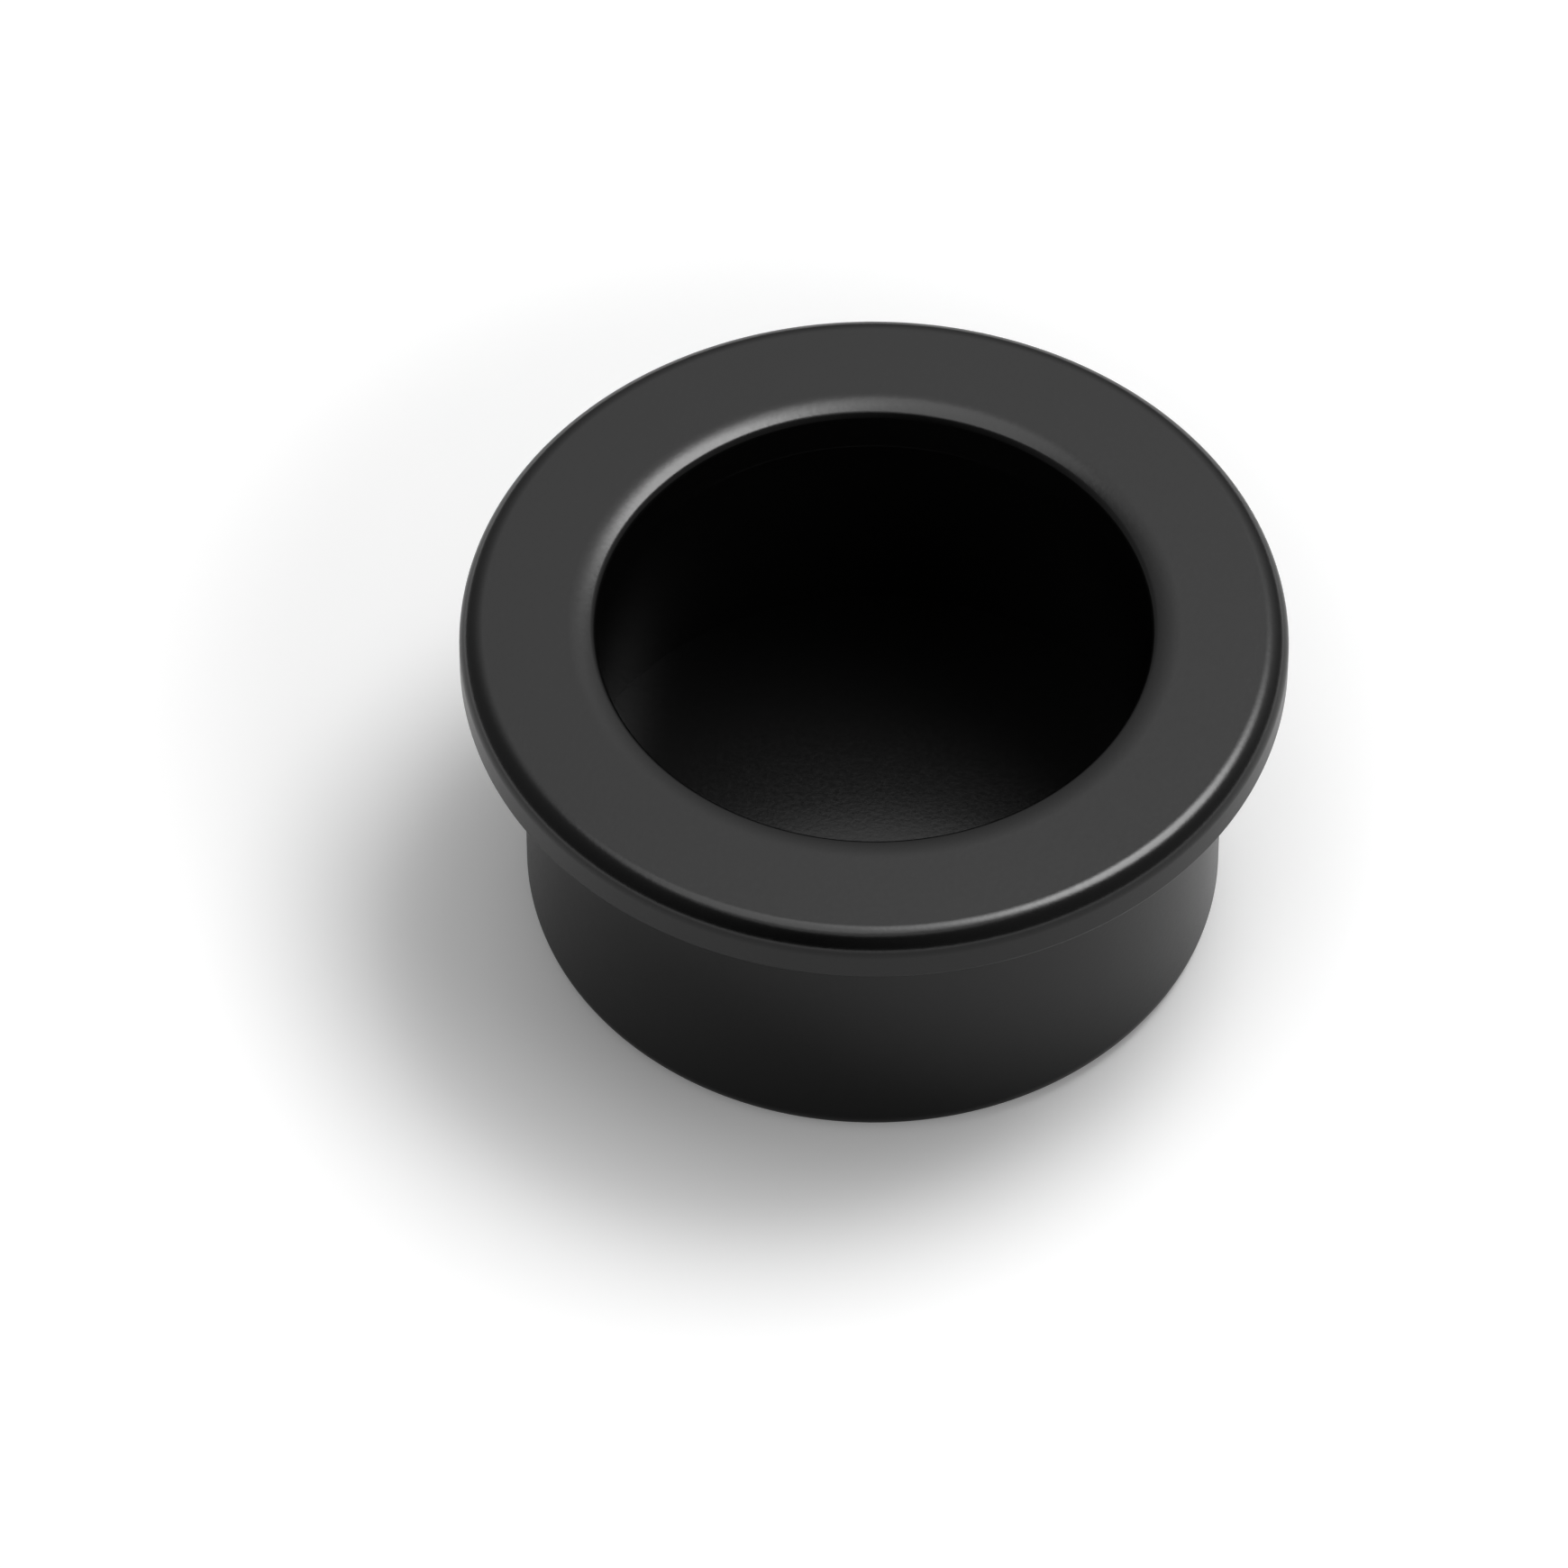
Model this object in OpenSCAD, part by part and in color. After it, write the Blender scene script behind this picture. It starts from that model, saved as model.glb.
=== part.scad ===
// Round recessed finger pull: a cup that drops into a drilled hole and hangs by its flange.
// It is one turned piece. The mouth is narrower than the cavity, so its lip is what a finger pulls on.
// The cup stands on its flat base, mouth up. The origin is the centre of the base, and Z is the axis.

/* [Flange] */
// Diameter of the flange
flange_d = 40; // [37:0.1:60]
// Thickness of the flange
flange_t = 2.6; // [1.5:0.1:5]
// Rounding of the flange's upper outer edge
flange_edge_r = 1.15; // [0.1:0.05:2.3]

/* [Cup] */
// Diameter of the cup's wall, which goes into the drilled hole
cup_d = 34; // [31.5:0.1:37]
// Depth of the cup under the flange
cup_depth = 15.6; // [8:0.1:40]
// Thickness of the cup's wall
wall_t = 1.65; // [0.8:0.05:2.9]
// Thickness of the cup's floor
floor_t = 2.2; // [1:0.1:6]
// Rounding of the base's outer edge
base_edge_r = 1.2; // [0.1:0.1:2]

/* [Lip] */
// Diameter of the mouth
mouth_d = 26.9; // [20:0.1:29]
// Height of the lip, from the flange's top down to the undercut
lip_h = 2.6; // [1.5:0.1:6]
// Broad rounding that leads from the flange's top into the mouth
lip_roll_r = 3.5; // [1:0.1:8]
// Angle that the broad rounding turns down through, in degrees
lip_roll_turn = 18; // [5:1:30]
// Tight rounding that follows it and ends upright, at the mouth
lip_edge_r = 0.25; // [0.1:0.05:0.8]

/* [Edges] */
// Break of the two lower edges, under the flange and under the lip
edge_break_r = 0.2; // [0.05:0.05:0.5]

/* [Hidden] */
$fn = 128;
// How far a cut runs past the face that it opens
cut_over = 1;
flange_r = flange_d / 2;
cup_r = cup_d / 2;
mouth_r = mouth_d / 2;
cavity_r = cup_r - wall_t;
overall_h = cup_depth + flange_t;
// Height of the undercut's ceiling, which is the lip's lower face
lip_z = overall_h - lip_h;
// How far the tight rounding reaches out from the mouth, and then both roundings together
lip_edge_w = lip_edge_r * (1 - sin(lip_roll_turn));
lip_top_w = lip_roll_r * sin(lip_roll_turn) + lip_edge_w;
// How far both roundings together reach down from the top
lip_top_h = lip_roll_r * (1 - cos(lip_roll_turn)) + lip_edge_r * cos(lip_roll_turn);

// What a rounding takes off a right-angled corner. The corner is at the origin, and its solid lies at -X -Y.
module corner_waste(rounding) {
    translate([-rounding, -rounding])
        difference() {
            square(2 * rounding);
            circle(r = rounding);
        }
}

// The same for a corner whose solid lies at -X +Y, such as the lower edge of a disc.
module lower_corner_waste(rounding) {
    mirror([0, 1])
        corner_waste(rounding);
}

// What the lip's two roundings take off a corner that lies like the first. They meet without a kink.
module lip_waste() {
    difference() {
        translate([-lip_top_w, -lip_top_h])
            square([lip_top_w + lip_edge_r, lip_top_h + lip_edge_r]);
        difference() {
            translate([-lip_top_w, -lip_roll_r])
                circle(r = lip_roll_r);
            translate([-lip_edge_w, -2 * lip_roll_r])
                square(3 * lip_roll_r);
        }
        translate([-lip_edge_r, -lip_top_h])
            circle(r = lip_edge_r);
    }
}

// Half section of the outside: the cup with its rounded base, and the flange on top of it.
module outer_section() {
    difference() {
        square([cup_r, overall_h]);
        translate([cup_r, 0])
            lower_corner_waste(base_edge_r);
    }
    difference() {
        translate([0, cup_depth])
            square([flange_r, flange_t]);
        translate([flange_r, overall_h])
            corner_waste(flange_edge_r);
        translate([flange_r, cup_depth])
            lower_corner_waste(edge_break_r);
    }
}

// Half section of the cavity: the space under the lip, wider than the mouth.
module cavity_section() {
    translate([0, floor_t])
        square([cavity_r, lip_z - floor_t]);
}

// Half section of the mouth, with what the lip's roundings take off above and below.
module mouth_section() {
    translate([0, lip_z - edge_break_r])
        square([mouth_r, lip_h + edge_break_r + cut_over]);
    translate([mouth_r, overall_h])
        mirror([1, 0])
            lip_waste();
    translate([mouth_r, lip_z])
        mirror([1, 0])
            lower_corner_waste(edge_break_r);
}

// The pull, turned about Z.
module pull() {
    color("#383838")
        rotate_extrude()
            difference() {
                outer_section();
                cavity_section();
                mouth_section();
            }
}

pull();
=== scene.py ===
"""Round recessed finger pull: the turned cup in its matt black coat, on a pale studio table.

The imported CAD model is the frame. Sizes are in millimetres, and Blender's objects are in metres.
"""
import logging
import math
from dataclasses import dataclass
from enum import Enum

import bpy
from mathutils import Matrix, Vector


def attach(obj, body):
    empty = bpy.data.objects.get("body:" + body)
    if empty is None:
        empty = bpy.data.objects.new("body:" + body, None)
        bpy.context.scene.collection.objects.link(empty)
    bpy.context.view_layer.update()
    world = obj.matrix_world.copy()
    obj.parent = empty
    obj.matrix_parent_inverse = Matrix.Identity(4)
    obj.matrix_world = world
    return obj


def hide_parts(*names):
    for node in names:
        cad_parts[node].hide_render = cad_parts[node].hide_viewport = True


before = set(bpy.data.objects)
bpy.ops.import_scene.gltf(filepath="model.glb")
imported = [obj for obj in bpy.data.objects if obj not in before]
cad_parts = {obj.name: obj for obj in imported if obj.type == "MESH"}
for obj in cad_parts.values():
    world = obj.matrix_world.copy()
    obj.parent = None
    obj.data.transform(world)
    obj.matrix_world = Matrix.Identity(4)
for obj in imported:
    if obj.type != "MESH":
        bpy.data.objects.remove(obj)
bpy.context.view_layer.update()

log = logging.getLogger("pull")

MM = 0.001
MICRON = MM / 1000
# The radiance that renders as plain white
WHITE = 1.0
# The photograph is square
PHOTO_PX = 1740


class Ray(Enum):
    """The kinds of ray that see the white backdrop, by Light Path's names for them."""

    CAMERA = "Is Camera Ray"
    GLOSSY = "Is Glossy Ray"
    TRANSMISSION = "Is Transmission Ray"


def srgb_to_linear(hex_colour: str) -> tuple[float, float, float, float]:
    """Turns a colour such as "#1A1A1A" into the linear numbers that shaders take.

    Args:
        hex_colour: The colour as sRGB hex, with or without its leading mark.

    Returns:
        Red, green, blue and a full alpha, linear.
    """
    digits = hex_colour.lstrip("#")
    parts = [int(digits[i:i + 2], 16) / 255 for i in (0, 2, 4)]
    low_slope, knee, offset, power = 12.92, 0.04045, 0.055, 2.4
    linear = [p / low_slope if p <= knee else ((p + offset) / (1 + offset)) ** power for p in parts]
    return (*linear, 1.0)


def add_node(
    tree: bpy.types.NodeTree,
    kind: str,
    settings: dict[str | int, object] | None = None,
    links: dict[str | int, bpy.types.NodeSocket] | None = None,
) -> bpy.types.Node:
    """Adds a node to a tree, sets it up and links it.

    Args:
        tree: The node tree of a material, a world or a light.
        kind: Blender's name for the node type.
        settings: Values by name. A number, or the name of an input, sets that input. Any other
            name sets one of the node's own properties.
        links: Output sockets, by the number or name of the input that each feeds.

    Returns:
        The new node.
    """
    node = tree.nodes.new(kind)
    for name, value in (settings or {}).items():
        if isinstance(name, int) or name in node.inputs:
            node.inputs[name].default_value = value
        else:
            setattr(node, name, value)
    for name, socket in (links or {}).items():
        tree.links.new(socket, node.inputs[name])
    return node


def new_material(name: str) -> tuple[bpy.types.Material, bpy.types.NodeTree]:
    """Makes an empty node material.

    Args:
        name: The material's name.

    Returns:
        The material and its cleared node tree.
    """
    material = bpy.data.materials.new(name)
    material.use_nodes = True
    material.node_tree.nodes.clear()
    return material, material.node_tree


def backdrop_share(tree: bpy.types.NodeTree) -> bpy.types.NodeSocket:
    """Gives the share of a ray, 0 or 1, that sees the white backdrop: camera, glossy and transmission.

    Args:
        tree: The node tree of the floor or the world.

    Returns:
        The socket that holds the share.
    """
    path = add_node(tree, "ShaderNodeLightPath")
    share = path.outputs[Ray.CAMERA.value]
    for ray in (Ray.GLOSSY, Ray.TRANSMISSION):
        share = add_node(
            tree, "ShaderNodeMath", {"operation": "MAXIMUM"}, {0: share, 1: path.outputs[ray.value]}
        ).outputs[0]
    return share


@dataclass(frozen=True)
class MattBlackPowderCoat:
    """Polyester powder sprayed on turned aluminium and baked, in matt black.

    The eye gets almost no colour from it, only a soft reflection. The baked powder leaves a very
    fine grain, and under that the slow, shallow swell of the melted film.
    """

    colour: str = "#0e0e0e"
    # That of polyester resin
    ior: float = 1.5
    # Where the grain stands high the coat is a little rougher, and where it lies low a little glossier
    roughness: float = 0.2
    roughness_spread: float = 0.04
    # The real powder's grains are about 0.05 mm across, a single pixel of the photograph. The grain is
    # drawn coarser than that, so that it shows. Detail is how many finer patterns lie on top of it,
    # and harshness is how strong those are
    grain_mm: float = 0.24
    grain_height_um: float = 4.0
    grain_detail: float = 2.0
    grain_harshness: float = 0.6
    # The swell has the width and height of a real melted film's
    swell_mm: float = 1.7
    swell_height_um: float = 1.5
    swell_detail: float = 1.0
    swell_harshness: float = 0.4
    # The part of the noise's range that holds nearly all of the grain
    grain_range: tuple[float, float] = (0.3, 0.7)

    def material(self) -> bpy.types.Material:
        """Builds the coat's nodes.

        Returns:
            The coat's material.
        """
        material, tree = new_material("matt_black_powder_coat")
        place = add_node(tree, "ShaderNodeTexCoord").outputs["Object"]
        grain = add_node(
            tree,
            "ShaderNodeTexNoise",
            {
                "Scale": 1 / (self.grain_mm * MM),
                "Detail": self.grain_detail,
                "Roughness": self.grain_harshness,
            },
            {"Vector": place},
        ).outputs["Fac"]
        swell = add_node(
            tree,
            "ShaderNodeTexNoise",
            {
                "Scale": 1 / (self.swell_mm * MM),
                "Detail": self.swell_detail,
                "Roughness": self.swell_harshness,
            },
            {"Vector": place},
        ).outputs["Fac"]
        swell_bump = add_node(
            tree,
            "ShaderNodeBump",
            {"Strength": 1.0, "Distance": self.swell_height_um * MICRON},
            {"Height": swell},
        )
        grain_bump = add_node(
            tree,
            "ShaderNodeBump",
            {"Strength": 1.0, "Distance": self.grain_height_um * MICRON},
            {"Height": grain, "Normal": swell_bump.outputs["Normal"]},
        )
        rough = add_node(
            tree,
            "ShaderNodeMapRange",
            {
                "From Min": self.grain_range[0],
                "From Max": self.grain_range[1],
                "To Min": self.roughness - self.roughness_spread / 2,
                "To Max": self.roughness + self.roughness_spread / 2,
            },
            {"Value": grain},
        )
        shader = add_node(
            tree,
            "ShaderNodeBsdfPrincipled",
            {"Base Color": srgb_to_linear(self.colour), "IOR": self.ior, "Metallic": 0.0},
            {"Roughness": rough.outputs["Result"], "Normal": grain_bump.outputs["Normal"]},
        )
        add_node(tree, "ShaderNodeOutputMaterial", None, {"Surface": shader.outputs["BSDF"]})
        return material


@dataclass(frozen=True)
class Arc:
    """One arc of a corner's rounding: its radius, and how far the corner has turned at its end."""

    radius: float
    end_deg: float = 90.0


@dataclass(frozen=True)
class Corner:
    """One square corner of the turned half section, at a radius and a height, and its rounding."""

    r: float
    z: float
    arcs: tuple[Arc, ...] = ()


@dataclass(frozen=True)
class Facet:
    """One short step along the half section: its two ends and the surface's normal at each."""

    start: Vector
    end: Vector
    start_normal: Vector
    end_normal: Vector


@dataclass
class TurnedPull:
    """The pull itself, one turned piece: cup, flange and undercut lip.

    Its sizes are part.scad's, except for the mouth, where the coat is drawn too.
    """

    flange_d: float = 40.0
    flange_t: float = 2.6
    flange_edge_r: float = 1.15
    cup_d: float = 34.0
    cup_depth: float = 15.6
    wall_t: float = 1.65
    floor_t: float = 2.2
    base_edge_r: float = 1.2
    # The melted coat, 0.07 thick, narrows the mouth from part.scad's 26.9, and it rounds the lip's
    # edge from 0.25. The rounder edge gives the eye the thin dark line inside the near lip
    mouth_d: float = 26.76
    lip_h: float = 2.6
    lip_roll_r: float = 3.5
    lip_roll_turn: float = 18.0
    lip_edge_r: float = 0.45
    edge_break_r: float = 0.2
    # The CAD model's rim has flat facets, and the visual one stays inside them by this much
    box_clearance: float = 0.007
    # Facets of the lathe mesh: round the axis, along a rounding and along a straight
    turns: int = 256
    rounding_steps: int = 16
    ring_pitch: float = 1.4
    # Between two roundings that meet, a straight shorter than this is left out
    shortest: float = 1e-6

    @property
    def height(self) -> float:
        """The height of the flange's top over the base."""
        return self.cup_depth + self.flange_t

    def corners(self) -> list[Corner]:
        """Lists the half section's corners.

        Returns:
            The corners in order, from the base's centre out, up, in, and down to the floor's centre.
        """
        top = self.height
        lip_z = top - self.lip_h
        cup_r, mouth_r = self.cup_d / 2, self.mouth_d / 2
        rim_r = self.flange_d / 2 - self.box_clearance
        cavity_r = cup_r - self.wall_t
        return [
            Corner(0, 0),
            Corner(cup_r, 0, (Arc(self.base_edge_r),)),
            Corner(cup_r, self.cup_depth),
            Corner(rim_r, self.cup_depth, (Arc(self.edge_break_r),)),
            Corner(rim_r, top, (Arc(self.flange_edge_r),)),
            Corner(mouth_r, top, (Arc(self.lip_roll_r, self.lip_roll_turn), Arc(self.lip_edge_r))),
            Corner(mouth_r, lip_z, (Arc(self.edge_break_r),)),
            Corner(cavity_r, lip_z),
            Corner(cavity_r, self.floor_t),
            Corner(0, self.floor_t),
        ]

    @staticmethod
    def outward(travel: Vector) -> Vector:
        """Gives the outward normal for a direction of travel along the section, metal on the left."""
        return Vector((travel.y, -travel.x))

    def straight(self, start: Vector, end: Vector) -> list[Facet]:
        """Divides a straight of the section into facets.

        Args:
            start: Where it starts, as radius and height.
            end: Where it ends.

        Returns:
            The facets in order, none for a straight of no length.
        """
        length = (end - start).length
        if length < self.shortest:
            return []
        steps = math.ceil(length / self.ring_pitch)
        normal = self.outward((end - start) / length)
        points = [start.lerp(end, i / steps) for i in range(steps + 1)]
        return [Facet(a, b, normal, normal) for a, b in zip(points, points[1:])]

    def rounded(self, corner: Corner, arrive: Vector, leave: Vector) -> list[Facet]:
        """Divides the rounding of a corner into facets.

        Args:
            corner: The corner.
            arrive: The direction of travel into it.
            leave: The direction of travel out of it, square to the other.

        Returns:
            The facets in order, none for a sharp corner.
        """
        along, across, turned = 0.0, 0.0, 0.0
        steps, normals = [(along, across)], [self.outward(arrive)]
        for arc in corner.arcs:
            end = math.radians(arc.end_deg)
            for step in range(1, self.rounding_steps + 1):
                turn = turned + (end - turned) * step / self.rounding_steps
                steps.append((
                    along + arc.radius * (math.sin(turn) - math.sin(turned)),
                    across + arc.radius * (math.cos(turned) - math.cos(turn)),
                ))
                normals.append(self.outward(arrive * math.cos(turn) + leave * math.sin(turn)))
            (along, across), turned = steps[-1], end
        start = Vector((corner.r, corner.z)) - arrive * along
        points = [start + arrive * a + leave * b for a, b in steps]
        ends = zip(points, points[1:], normals, normals[1:])
        return [Facet(a, b, na, nb) for a, b, na, nb in ends]

    def section(self) -> list[Facet]:
        """Walks the half section from corner to corner.

        Returns:
            All its facets, in order.
        """
        corners = self.corners()
        spots = [Vector((c.r, c.z)) for c in corners]
        travel = [(b - a).normalized() for a, b in zip(spots, spots[1:])]
        facets, at = [], spots[0]
        for i, corner in enumerate(corners[1:-1], start=1):
            turned = self.rounded(corner, travel[i - 1], travel[i])
            facets += self.straight(at, turned[0].start if turned else spots[i])
            facets += turned
            at = turned[-1].end if turned else spots[i]
        return facets + self.straight(at, spots[-1])

    def mesh(self) -> bpy.types.Mesh:
        """Turns the section about the axis, in quads with the section's own normals.

        Returns:
            The mesh, in metres, closed at the base's centre and the floor's centre.
        """
        facets = self.section()
        rings = [facet.end for facet in facets[:-1]]
        angles = [2 * math.pi * k / self.turns for k in range(self.turns)]
        around = [(math.cos(a), math.sin(a)) for a in angles]
        points = [(r.x * c * MM, r.x * s * MM, r.y * MM) for r in rings for c, s in around]
        base_centre, floor_centre = len(points), len(points) + 1
        points.append((0, 0, facets[0].start.y * MM))
        points.append((0, 0, facets[-1].end.y * MM))

        faces, normals = [], []
        for number, facet in enumerate(facets):
            # The first point of the ring where the facet starts, and of the one where it ends
            start_ring, end_ring = (number - 1) * self.turns, number * self.turns
            for turn in range(self.turns):
                following = (turn + 1) % self.turns
                # Each corner of the face: its point, its normal in the section and its turn
                start = [
                    (start_ring + turn, facet.start_normal, turn),
                    (start_ring + following, facet.start_normal, following),
                ]
                end = [
                    (end_ring + following, facet.end_normal, following),
                    (end_ring + turn, facet.end_normal, turn),
                ]
                if number == 0:
                    start = [(base_centre, facet.start_normal, turn)]
                elif number == len(facets) - 1:
                    end = [(floor_centre, facet.end_normal, turn)]
                faces.append([point for point, _, _ in start + end])
                for _, normal, at in start + end:
                    cosine, sine = around[at]
                    normals.append((normal.x * cosine, normal.x * sine, normal.y))

        mesh = bpy.data.meshes.new("turned_pull")
        mesh.from_pydata(points, [], faces)
        mesh.shade_smooth()
        mesh.normals_split_custom_set(normals)
        return mesh

    def build(self, coat: MattBlackPowderCoat) -> bpy.types.Object:
        """Builds the pull, dresses it and puts it in the CAD node's place.

        Args:
            coat: The finish that it gets all over.

        Returns:
            The pull's object.
        """
        pull = bpy.data.objects.new("turned_pull", self.mesh())
        bpy.context.scene.collection.objects.link(pull)
        pull.data.materials.append(coat.material())
        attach(pull, "root")
        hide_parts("pull")
        return pull


@dataclass(frozen=True)
class PhotoCamera:
    """The photograph's camera: a long lens, looking down at the flange from the front."""

    # Its target is the flange's centre: how high that is, and where it falls in the photograph
    target_height_mm: float
    target_px: tuple[float, float] = (968.74, 688.62)
    focal_px: float = 13836.49
    distance_mm: float = 600.2
    elevation_deg: float = 49.5
    roll_deg: float = 0.37
    sensor_mm: float = 36.0
    # It sees as far as this, which is past the table's edge
    reach_mm: float = 20000.0

    def build(self) -> bpy.types.Object:
        """Makes the camera and sets it as the scene's.

        Returns:
            The camera's object.
        """
        data = bpy.data.cameras.new("photo_camera")
        data.sensor_width = self.sensor_mm
        data.lens = self.focal_px / PHOTO_PX * self.sensor_mm
        data.clip_end = self.reach_mm * MM
        camera = bpy.data.objects.new("photo_camera", data)
        bpy.context.scene.collection.objects.link(camera)
        bpy.context.scene.camera = camera

        elevation = math.radians(self.elevation_deg)
        from_target = Vector((0, -math.cos(elevation), math.sin(elevation)))
        level = Matrix.Rotation(math.pi / 2 - elevation, 3, "X")
        middle = PHOTO_PX / 2
        to_target = Vector(
            (self.target_px[0] - middle, middle - self.target_px[1], -self.focal_px)
        ).normalized()
        # Turns the camera off the target, so that the target falls off the frame's middle
        aside = to_target.rotation_difference(Vector((0, 0, -1))).to_matrix()
        roll = Matrix.Rotation(math.radians(self.roll_deg), 3, "Z")
        place = Vector((0, 0, self.target_height_mm * MM)) + from_target * self.distance_mm * MM
        camera.matrix_world = Matrix.Translation(place) @ (level @ aside @ roll).to_4x4()
        return camera


@dataclass(frozen=True)
class Softbox:
    """A round softbox with a bright middle: discs of light, one behind the other, that add up."""

    name: str = "key"
    azimuth_deg: float = 38.0
    elevation_deg: float = 64.0
    distance_mm: float = 550.0
    disc_gap_mm: float = 15.0
    # Each disc's half angle as the pull sees it, in degrees, and its radiance, where 1 is white
    discs: tuple[tuple[float, float], ...] = ((20.0, 1.7), (15.0, 2.9), (12.0, 3.0))

    def build(self) -> list[bpy.types.Object]:
        """Hangs the discs, aimed at the pull.

        Returns:
            The discs' objects, the nearest first.
        """
        azimuth, elevation = math.radians(self.azimuth_deg), math.radians(self.elevation_deg)
        aim = Vector((
            math.cos(elevation) * math.cos(azimuth),
            math.cos(elevation) * math.sin(azimuth),
            math.sin(elevation),
        ))
        made = []
        for number, (half_angle, radiance) in enumerate(self.discs):
            distance = (self.distance_mm + number * self.disc_gap_mm) * MM
            radius = distance * math.tan(math.radians(half_angle))
            light = bpy.data.lights.new(f"{self.name}_softbox_{number}", "AREA")
            light.shape = "DISK"
            light.size = 2 * radius
            # A flat lamp's power is its radiance times pi times its area
            light.energy = radiance * math.pi * math.pi * radius ** 2
            lamp = bpy.data.objects.new(light.name, light)
            lamp.location = aim * distance
            lamp.rotation_euler = aim.to_track_quat("Z", "Y").to_euler()
            lamp.visible_camera = False
            bpy.context.scene.collection.objects.link(lamp)
            made.append(lamp)
        return made


@dataclass(frozen=True)
class PaperDrum:
    """A drum of paper round the studio, which shows only in the coat: black in front, white behind.

    The coat has almost no colour of its own, so this grading is what gives it its form.
    """

    radius_mm: float = 1500.0
    elevations_deg: tuple[float, float] = (0.3, 67.8)
    # Where the drum is black. Away from there its radiance, where 1 is white, grows slowly to this
    # grey at one angle, and then faster, to white at the other
    black_azimuth_deg: float = 253.0
    grey_radiance: float = 0.2
    grey_at_deg: float = 95.0
    white_at_deg: float = 185.0
    # The white behind begins at the first height, and from the second up it has this share
    white_heights_deg: tuple[float, float] = (10.0, 46.0)
    white_share: float = 1.15
    columns: int = 96

    def height(self, elevation_deg: float) -> float:
        """Gives the height in metres, on the drum, of an elevation as the pull sees it."""
        return self.radius_mm * MM * math.tan(math.radians(elevation_deg))

    def angle_from_black(
        self, tree: bpy.types.NodeTree, place: bpy.types.NodeSocket
    ) -> bpy.types.NodeSocket:
        """Works out how far round the pull a point of the drum lies from where it is black.

        Args:
            tree: The paper's node tree.
            place: The socket that holds the point.

        Returns:
            The socket that holds the angle, in radians.
        """
        azimuth = math.radians(self.black_azimuth_deg)
        # Its dot product with a point of the drum is the cosine of the angle between the two
        black = Vector((math.cos(azimuth), math.sin(azimuth), 0)) / (self.radius_mm * MM)
        cosine = add_node(
            tree, "ShaderNodeVectorMath", {"operation": "DOT_PRODUCT", 1: black}, {0: place}
        ).outputs["Value"]
        return add_node(tree, "ShaderNodeMath", {"operation": "ARCCOSINE"}, {0: cosine}).outputs[0]

    def material(self) -> bpy.types.Material:
        """Builds the paper's nodes, which grade it by the angle round the pull and by the height.

        Returns:
            The paper's material.
        """
        material, tree = new_material("graded_paper")
        place = add_node(tree, "ShaderNodeTexCoord").outputs["Object"]
        away = self.angle_from_black(tree, place)
        grey_at = math.radians(self.grey_at_deg)
        slow = add_node(
            tree,
            "ShaderNodeMapRange",
            {"From Max": grey_at, "To Max": self.grey_radiance},
            {"Value": away},
        )
        fast = add_node(
            tree,
            "ShaderNodeMapRange",
            {
                "interpolation_type": "SMOOTHSTEP",
                "From Min": grey_at,
                "From Max": math.radians(self.white_at_deg),
                "To Max": 1 - self.grey_radiance,
            },
            {"Value": away},
        )
        share = add_node(
            tree,
            "ShaderNodeMapRange",
            {
                "From Min": self.height(self.white_heights_deg[0]),
                "From Max": self.height(self.white_heights_deg[1]),
                "To Max": self.white_share,
            },
            {"Value": add_node(tree, "ShaderNodeSeparateXYZ", None, {"Vector": place}).outputs["Z"]},
        )
        radiance = add_node(
            tree,
            "ShaderNodeMath",
            {"operation": "MULTIPLY_ADD"},
            {0: fast.outputs["Result"], 1: share.outputs["Result"], 2: slow.outputs["Result"]},
        )
        glow = add_node(tree, "ShaderNodeEmission", None, {"Strength": radiance.outputs[0]})
        add_node(tree, "ShaderNodeOutputMaterial", None, {"Surface": glow.outputs["Emission"]})
        return material

    def build(self) -> bpy.types.Object:
        """Builds the drum, in flat panels round the studio.

        Returns:
            The drum's object.
        """
        radius = self.radius_mm * MM
        heights = [self.height(elevation) for elevation in self.elevations_deg]
        points, faces = [], []
        for column in range(self.columns):
            angle = 2 * math.pi * column / self.columns
            points += [(radius * math.cos(angle), radius * math.sin(angle), z) for z in heights]
            low, next_low = 2 * column, 2 * ((column + 1) % self.columns)
            faces.append((low, next_low, next_low + 1, low + 1))
        mesh = bpy.data.meshes.new("paper_drum")
        mesh.from_pydata(points, [], faces)
        mesh.materials.append(self.material())
        drum = bpy.data.objects.new("paper_drum", mesh)
        bpy.context.scene.collection.objects.link(drum)
        drum.visible_camera = False
        drum.visible_diffuse = False
        drum.visible_shadow = False
        return drum


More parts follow.
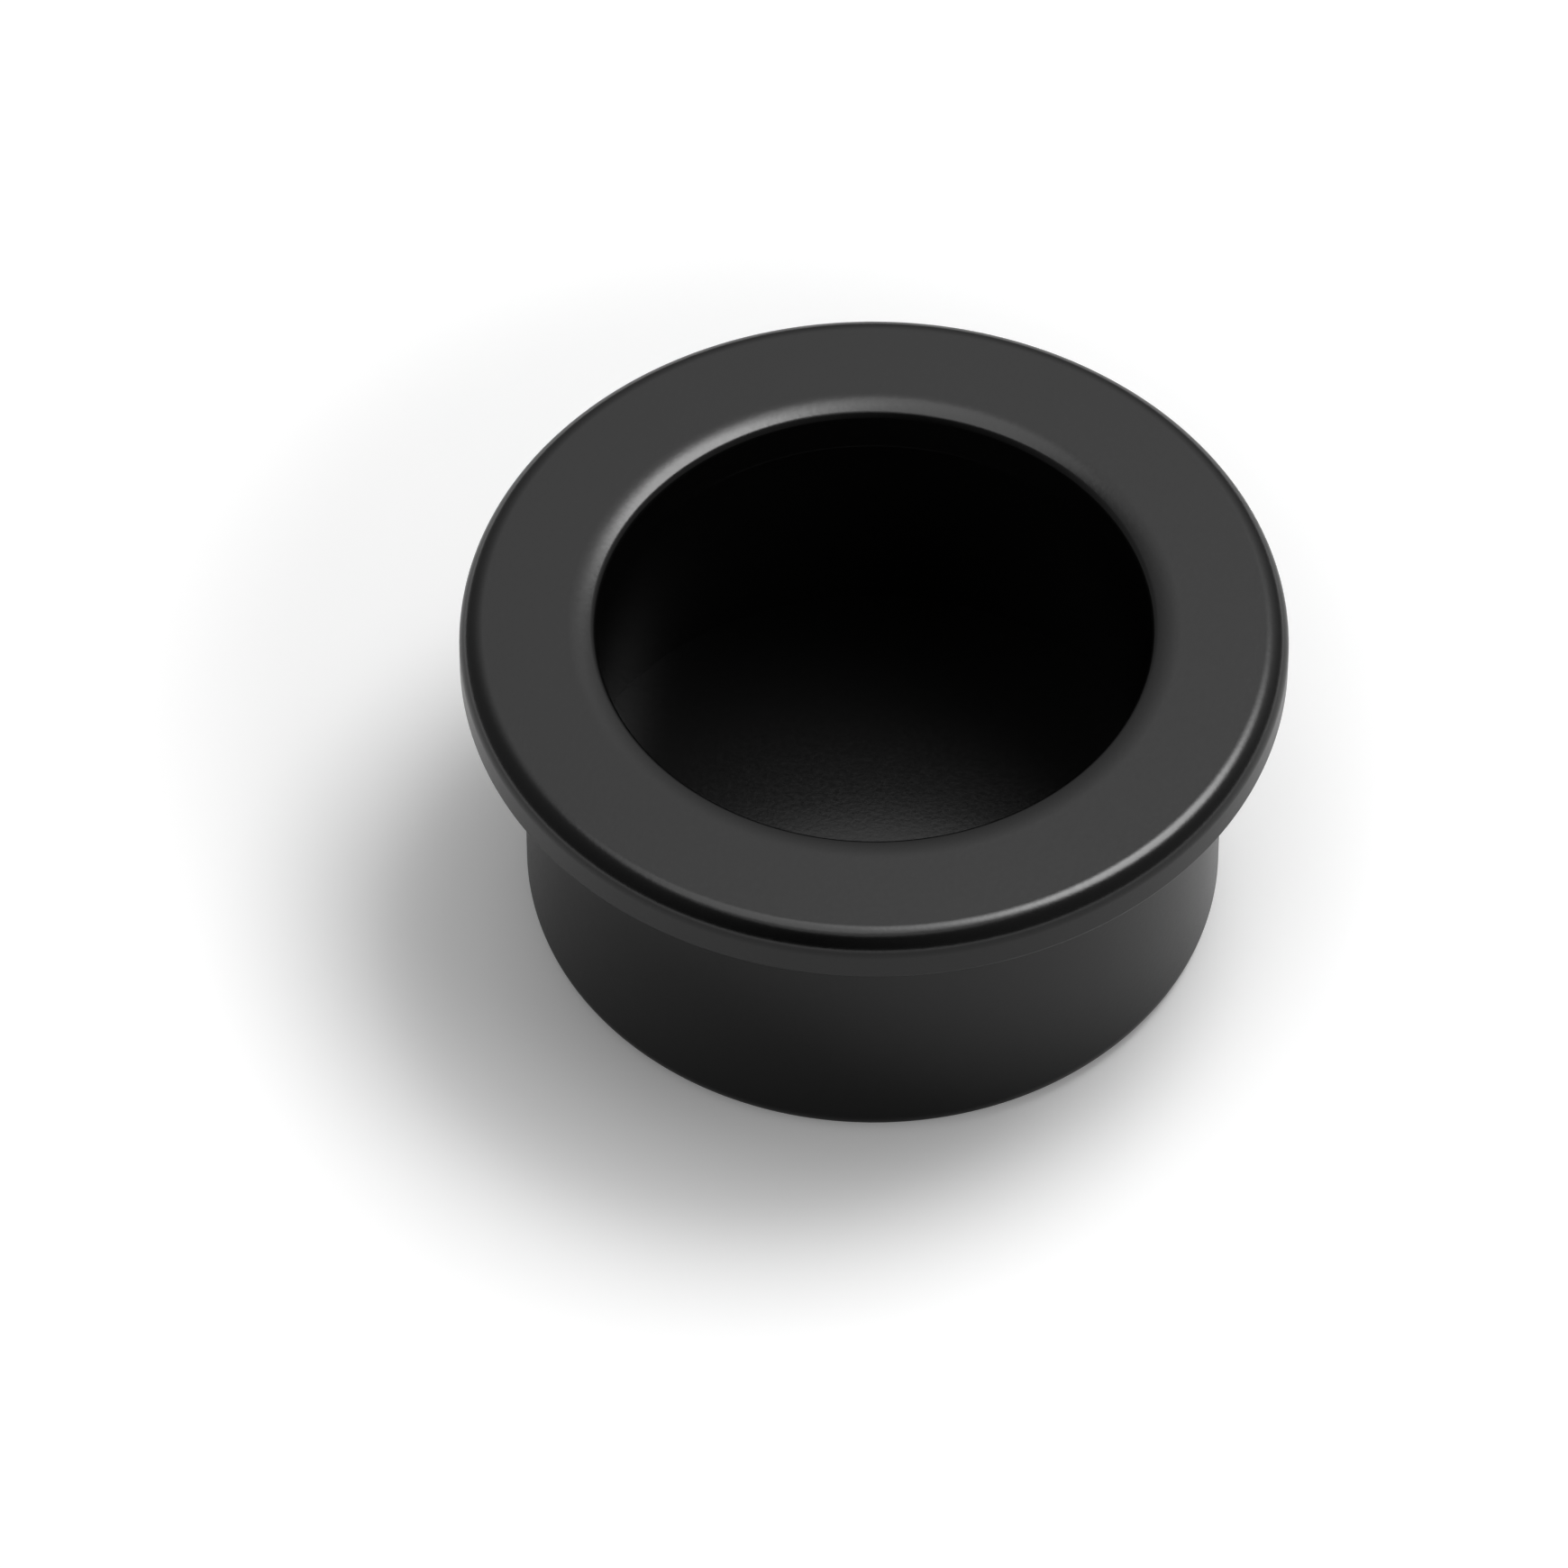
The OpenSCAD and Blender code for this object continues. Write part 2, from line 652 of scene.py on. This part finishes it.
@dataclass(frozen=True)
class PaperTable:
    """The pale table top: matt white paper, which runs out into a white backdrop, with a painted glow,
    seen by the camera alone, that pales the pull's shadow.
    """

    half_width_mm: float = 6000.0
    # How far the paper lies under the pull's base, so that the two faces don't flicker
    gap_mm: float = 0.02
    # The share of the light that the paper sends back, to the camera and to every other ray. The coat
    # mirrors the darker paper near the pull, because the paler one turned its black to grey
    seen_share: float = 0.98
    bounced_share: float = 0.65
    # Near the pull the paper keeps its shadow, and from here to there it turns into the backdrop
    backdrop_from_mm: float = 70.0
    backdrop_full_mm: float = 160.0
    # Painted light: a glow that only the camera sees, on top of the light that falls on the paper,
    # where 1 is white. It pales the pull's shadow and leaves painted shade round a spot beside the
    # pull: the first share up to the first distance from that spot, and the second past the second
    painted_lift: tuple[float, float] = (0.1, 0.27)
    painted_lift_range_mm: tuple[float, float] = (23.0, 38.0)
    painted_shade_spot_mm: tuple[float, float, float] = (-5.0, 12.0, 0.0)

    def painted_lift_glow(
        self,
        tree: bpy.types.NodeTree,
        place: bpy.types.NodeSocket,
        camera: bpy.types.NodeSocket,
    ) -> bpy.types.NodeSocket:
        """Works out the painted light that the camera alone sees on top of the light that falls on the
        paper, which pales the shadow least near a spot beside the pull.

        Args:
            tree: The paper's node tree.
            place: The socket that holds the point on the table.
            camera: The socket that is 1 for the camera's rays and 0 for the others.

        Returns:
            The socket that holds its radiance.
        """
        beside = add_node(
            tree,
            "ShaderNodeVectorMath",
            {"operation": "DISTANCE", 1: Vector(self.painted_shade_spot_mm) * MM},
            {0: place},
        )
        painted_lift = add_node(
            tree,
            "ShaderNodeMapRange",
            {
                "interpolation_type": "SMOOTHSTEP",
                "From Min": self.painted_lift_range_mm[0] * MM,
                "From Max": self.painted_lift_range_mm[1] * MM,
                "To Min": self.painted_lift[0],
                "To Max": self.painted_lift[1],
            },
            {"Value": beside.outputs["Value"]},
        )
        return add_node(
            tree,
            "ShaderNodeMath",
            {"operation": "MULTIPLY"},
            {0: painted_lift.outputs["Result"], 1: camera},
        ).outputs[0]

    def material(self) -> bpy.types.Material:
        """Builds the paper's nodes.

        Returns:
            The paper's material.
        """
        material, tree = new_material("matt_white_paper")
        place = add_node(tree, "ShaderNodeTexCoord").outputs["Object"]
        away = add_node(tree, "ShaderNodeVectorMath", {"operation": "LENGTH"}, {0: place})
        outside = add_node(
            tree,
            "ShaderNodeMapRange",
            {
                "interpolation_type": "SMOOTHSTEP",
                "From Min": self.backdrop_from_mm * MM,
                "From Max": self.backdrop_full_mm * MM,
            },
            {"Value": away.outputs["Value"]},
        ).outputs["Result"]
        seen = add_node(
            tree, "ShaderNodeMath", {"operation": "MULTIPLY"}, {0: outside, 1: backdrop_share(tree)}
        ).outputs[0]
        camera = add_node(tree, "ShaderNodeLightPath").outputs[Ray.CAMERA.value]
        share = add_node(
            tree,
            "ShaderNodeMapRange",
            {"To Min": self.bounced_share, "To Max": self.seen_share},
            {"Value": camera},
        )
        paper = add_node(tree, "ShaderNodeBsdfDiffuse", None, {"Color": share.outputs["Result"]})
        # Painted light: a camera-only glow that pales the pull's shadow on the paper, less near a spot
        # beside the pull
        painted_lift = self.painted_lift_glow(tree, place, camera)
        glow = add_node(tree, "ShaderNodeEmission", None, {"Strength": painted_lift})
        near = add_node(
            tree, "ShaderNodeAddShader", None, {0: paper.outputs["BSDF"], 1: glow.outputs["Emission"]}
        )
        white = add_node(tree, "ShaderNodeEmission", {"Strength": WHITE})
        mixed = add_node(
            tree,
            "ShaderNodeMixShader",
            None,
            {0: seen, 1: near.outputs["Shader"], 2: white.outputs["Emission"]},
        )
        add_node(tree, "ShaderNodeOutputMaterial", None, {"Surface": mixed.outputs["Shader"]})
        return material

    def build(self) -> bpy.types.Object:
        """Lays the table top.

        Returns:
            The table's object.
        """
        half = self.half_width_mm * MM
        mesh = bpy.data.meshes.new("paper_table")
        points = [(-half, -half, 0), (half, -half, 0), (half, half, 0), (-half, half, 0)]
        mesh.from_pydata(points, [], [(0, 1, 2, 3)])
        mesh.materials.append(self.material())
        table = bpy.data.objects.new("paper_table", mesh)
        table.location.z = -self.gap_mm * MM
        bpy.context.scene.collection.objects.link(table)
        return table


@dataclass(frozen=True)
class WhiteRoom:
    """The room behind it all: white where it is seen or reflected, and a dim fill for the rest."""

    fill: float = 0.36

    def build(self) -> bpy.types.World:
        """Makes the world and sets it as the scene's.

        Returns:
            The world.
        """
        world = bpy.data.worlds.new("white_room")
        world.use_nodes = True
        tree = world.node_tree
        tree.nodes.clear()
        dim = add_node(tree, "ShaderNodeBackground", {"Strength": self.fill})
        white = add_node(tree, "ShaderNodeBackground", {"Strength": WHITE})
        mixed = add_node(
            tree,
            "ShaderNodeMixShader",
            None,
            {0: backdrop_share(tree), 1: dim.outputs["Background"], 2: white.outputs["Background"]},
        )
        add_node(tree, "ShaderNodeOutputWorld", None, {"Surface": mixed.outputs["Shader"]})
        bpy.context.scene.world = world
        return world


def main() -> None:
    """Builds the pull, the camera and the studio, in that order."""
    logging.basicConfig(level=logging.INFO, format="%(name)s: %(message)s")
    turned = TurnedPull()
    pull = turned.build(MattBlackPowderCoat())
    log.info("%s: %d faces", pull.name, len(pull.data.polygons))
    camera = PhotoCamera(turned.height).build()
    log.info("%s: lens %.1f mm", camera.name, camera.data.lens)
    key = Softbox()
    overhead = Softbox(
        "overhead", azimuth_deg=100.0, elevation_deg=78.6, distance_mm=1200.0, discs=((19.0, 1.1),)
    )
    lamps = key.build() + overhead.build()
    for piece in (PaperTable().build(), PaperDrum().build(), *lamps):
        log.info("%s: part of the studio", piece.name)
    room = WhiteRoom().build()
    log.info("%s: the room round it", room.name)
    bpy.context.scene.view_settings.view_transform = "Standard"


if __name__ == "__main__":
    main()
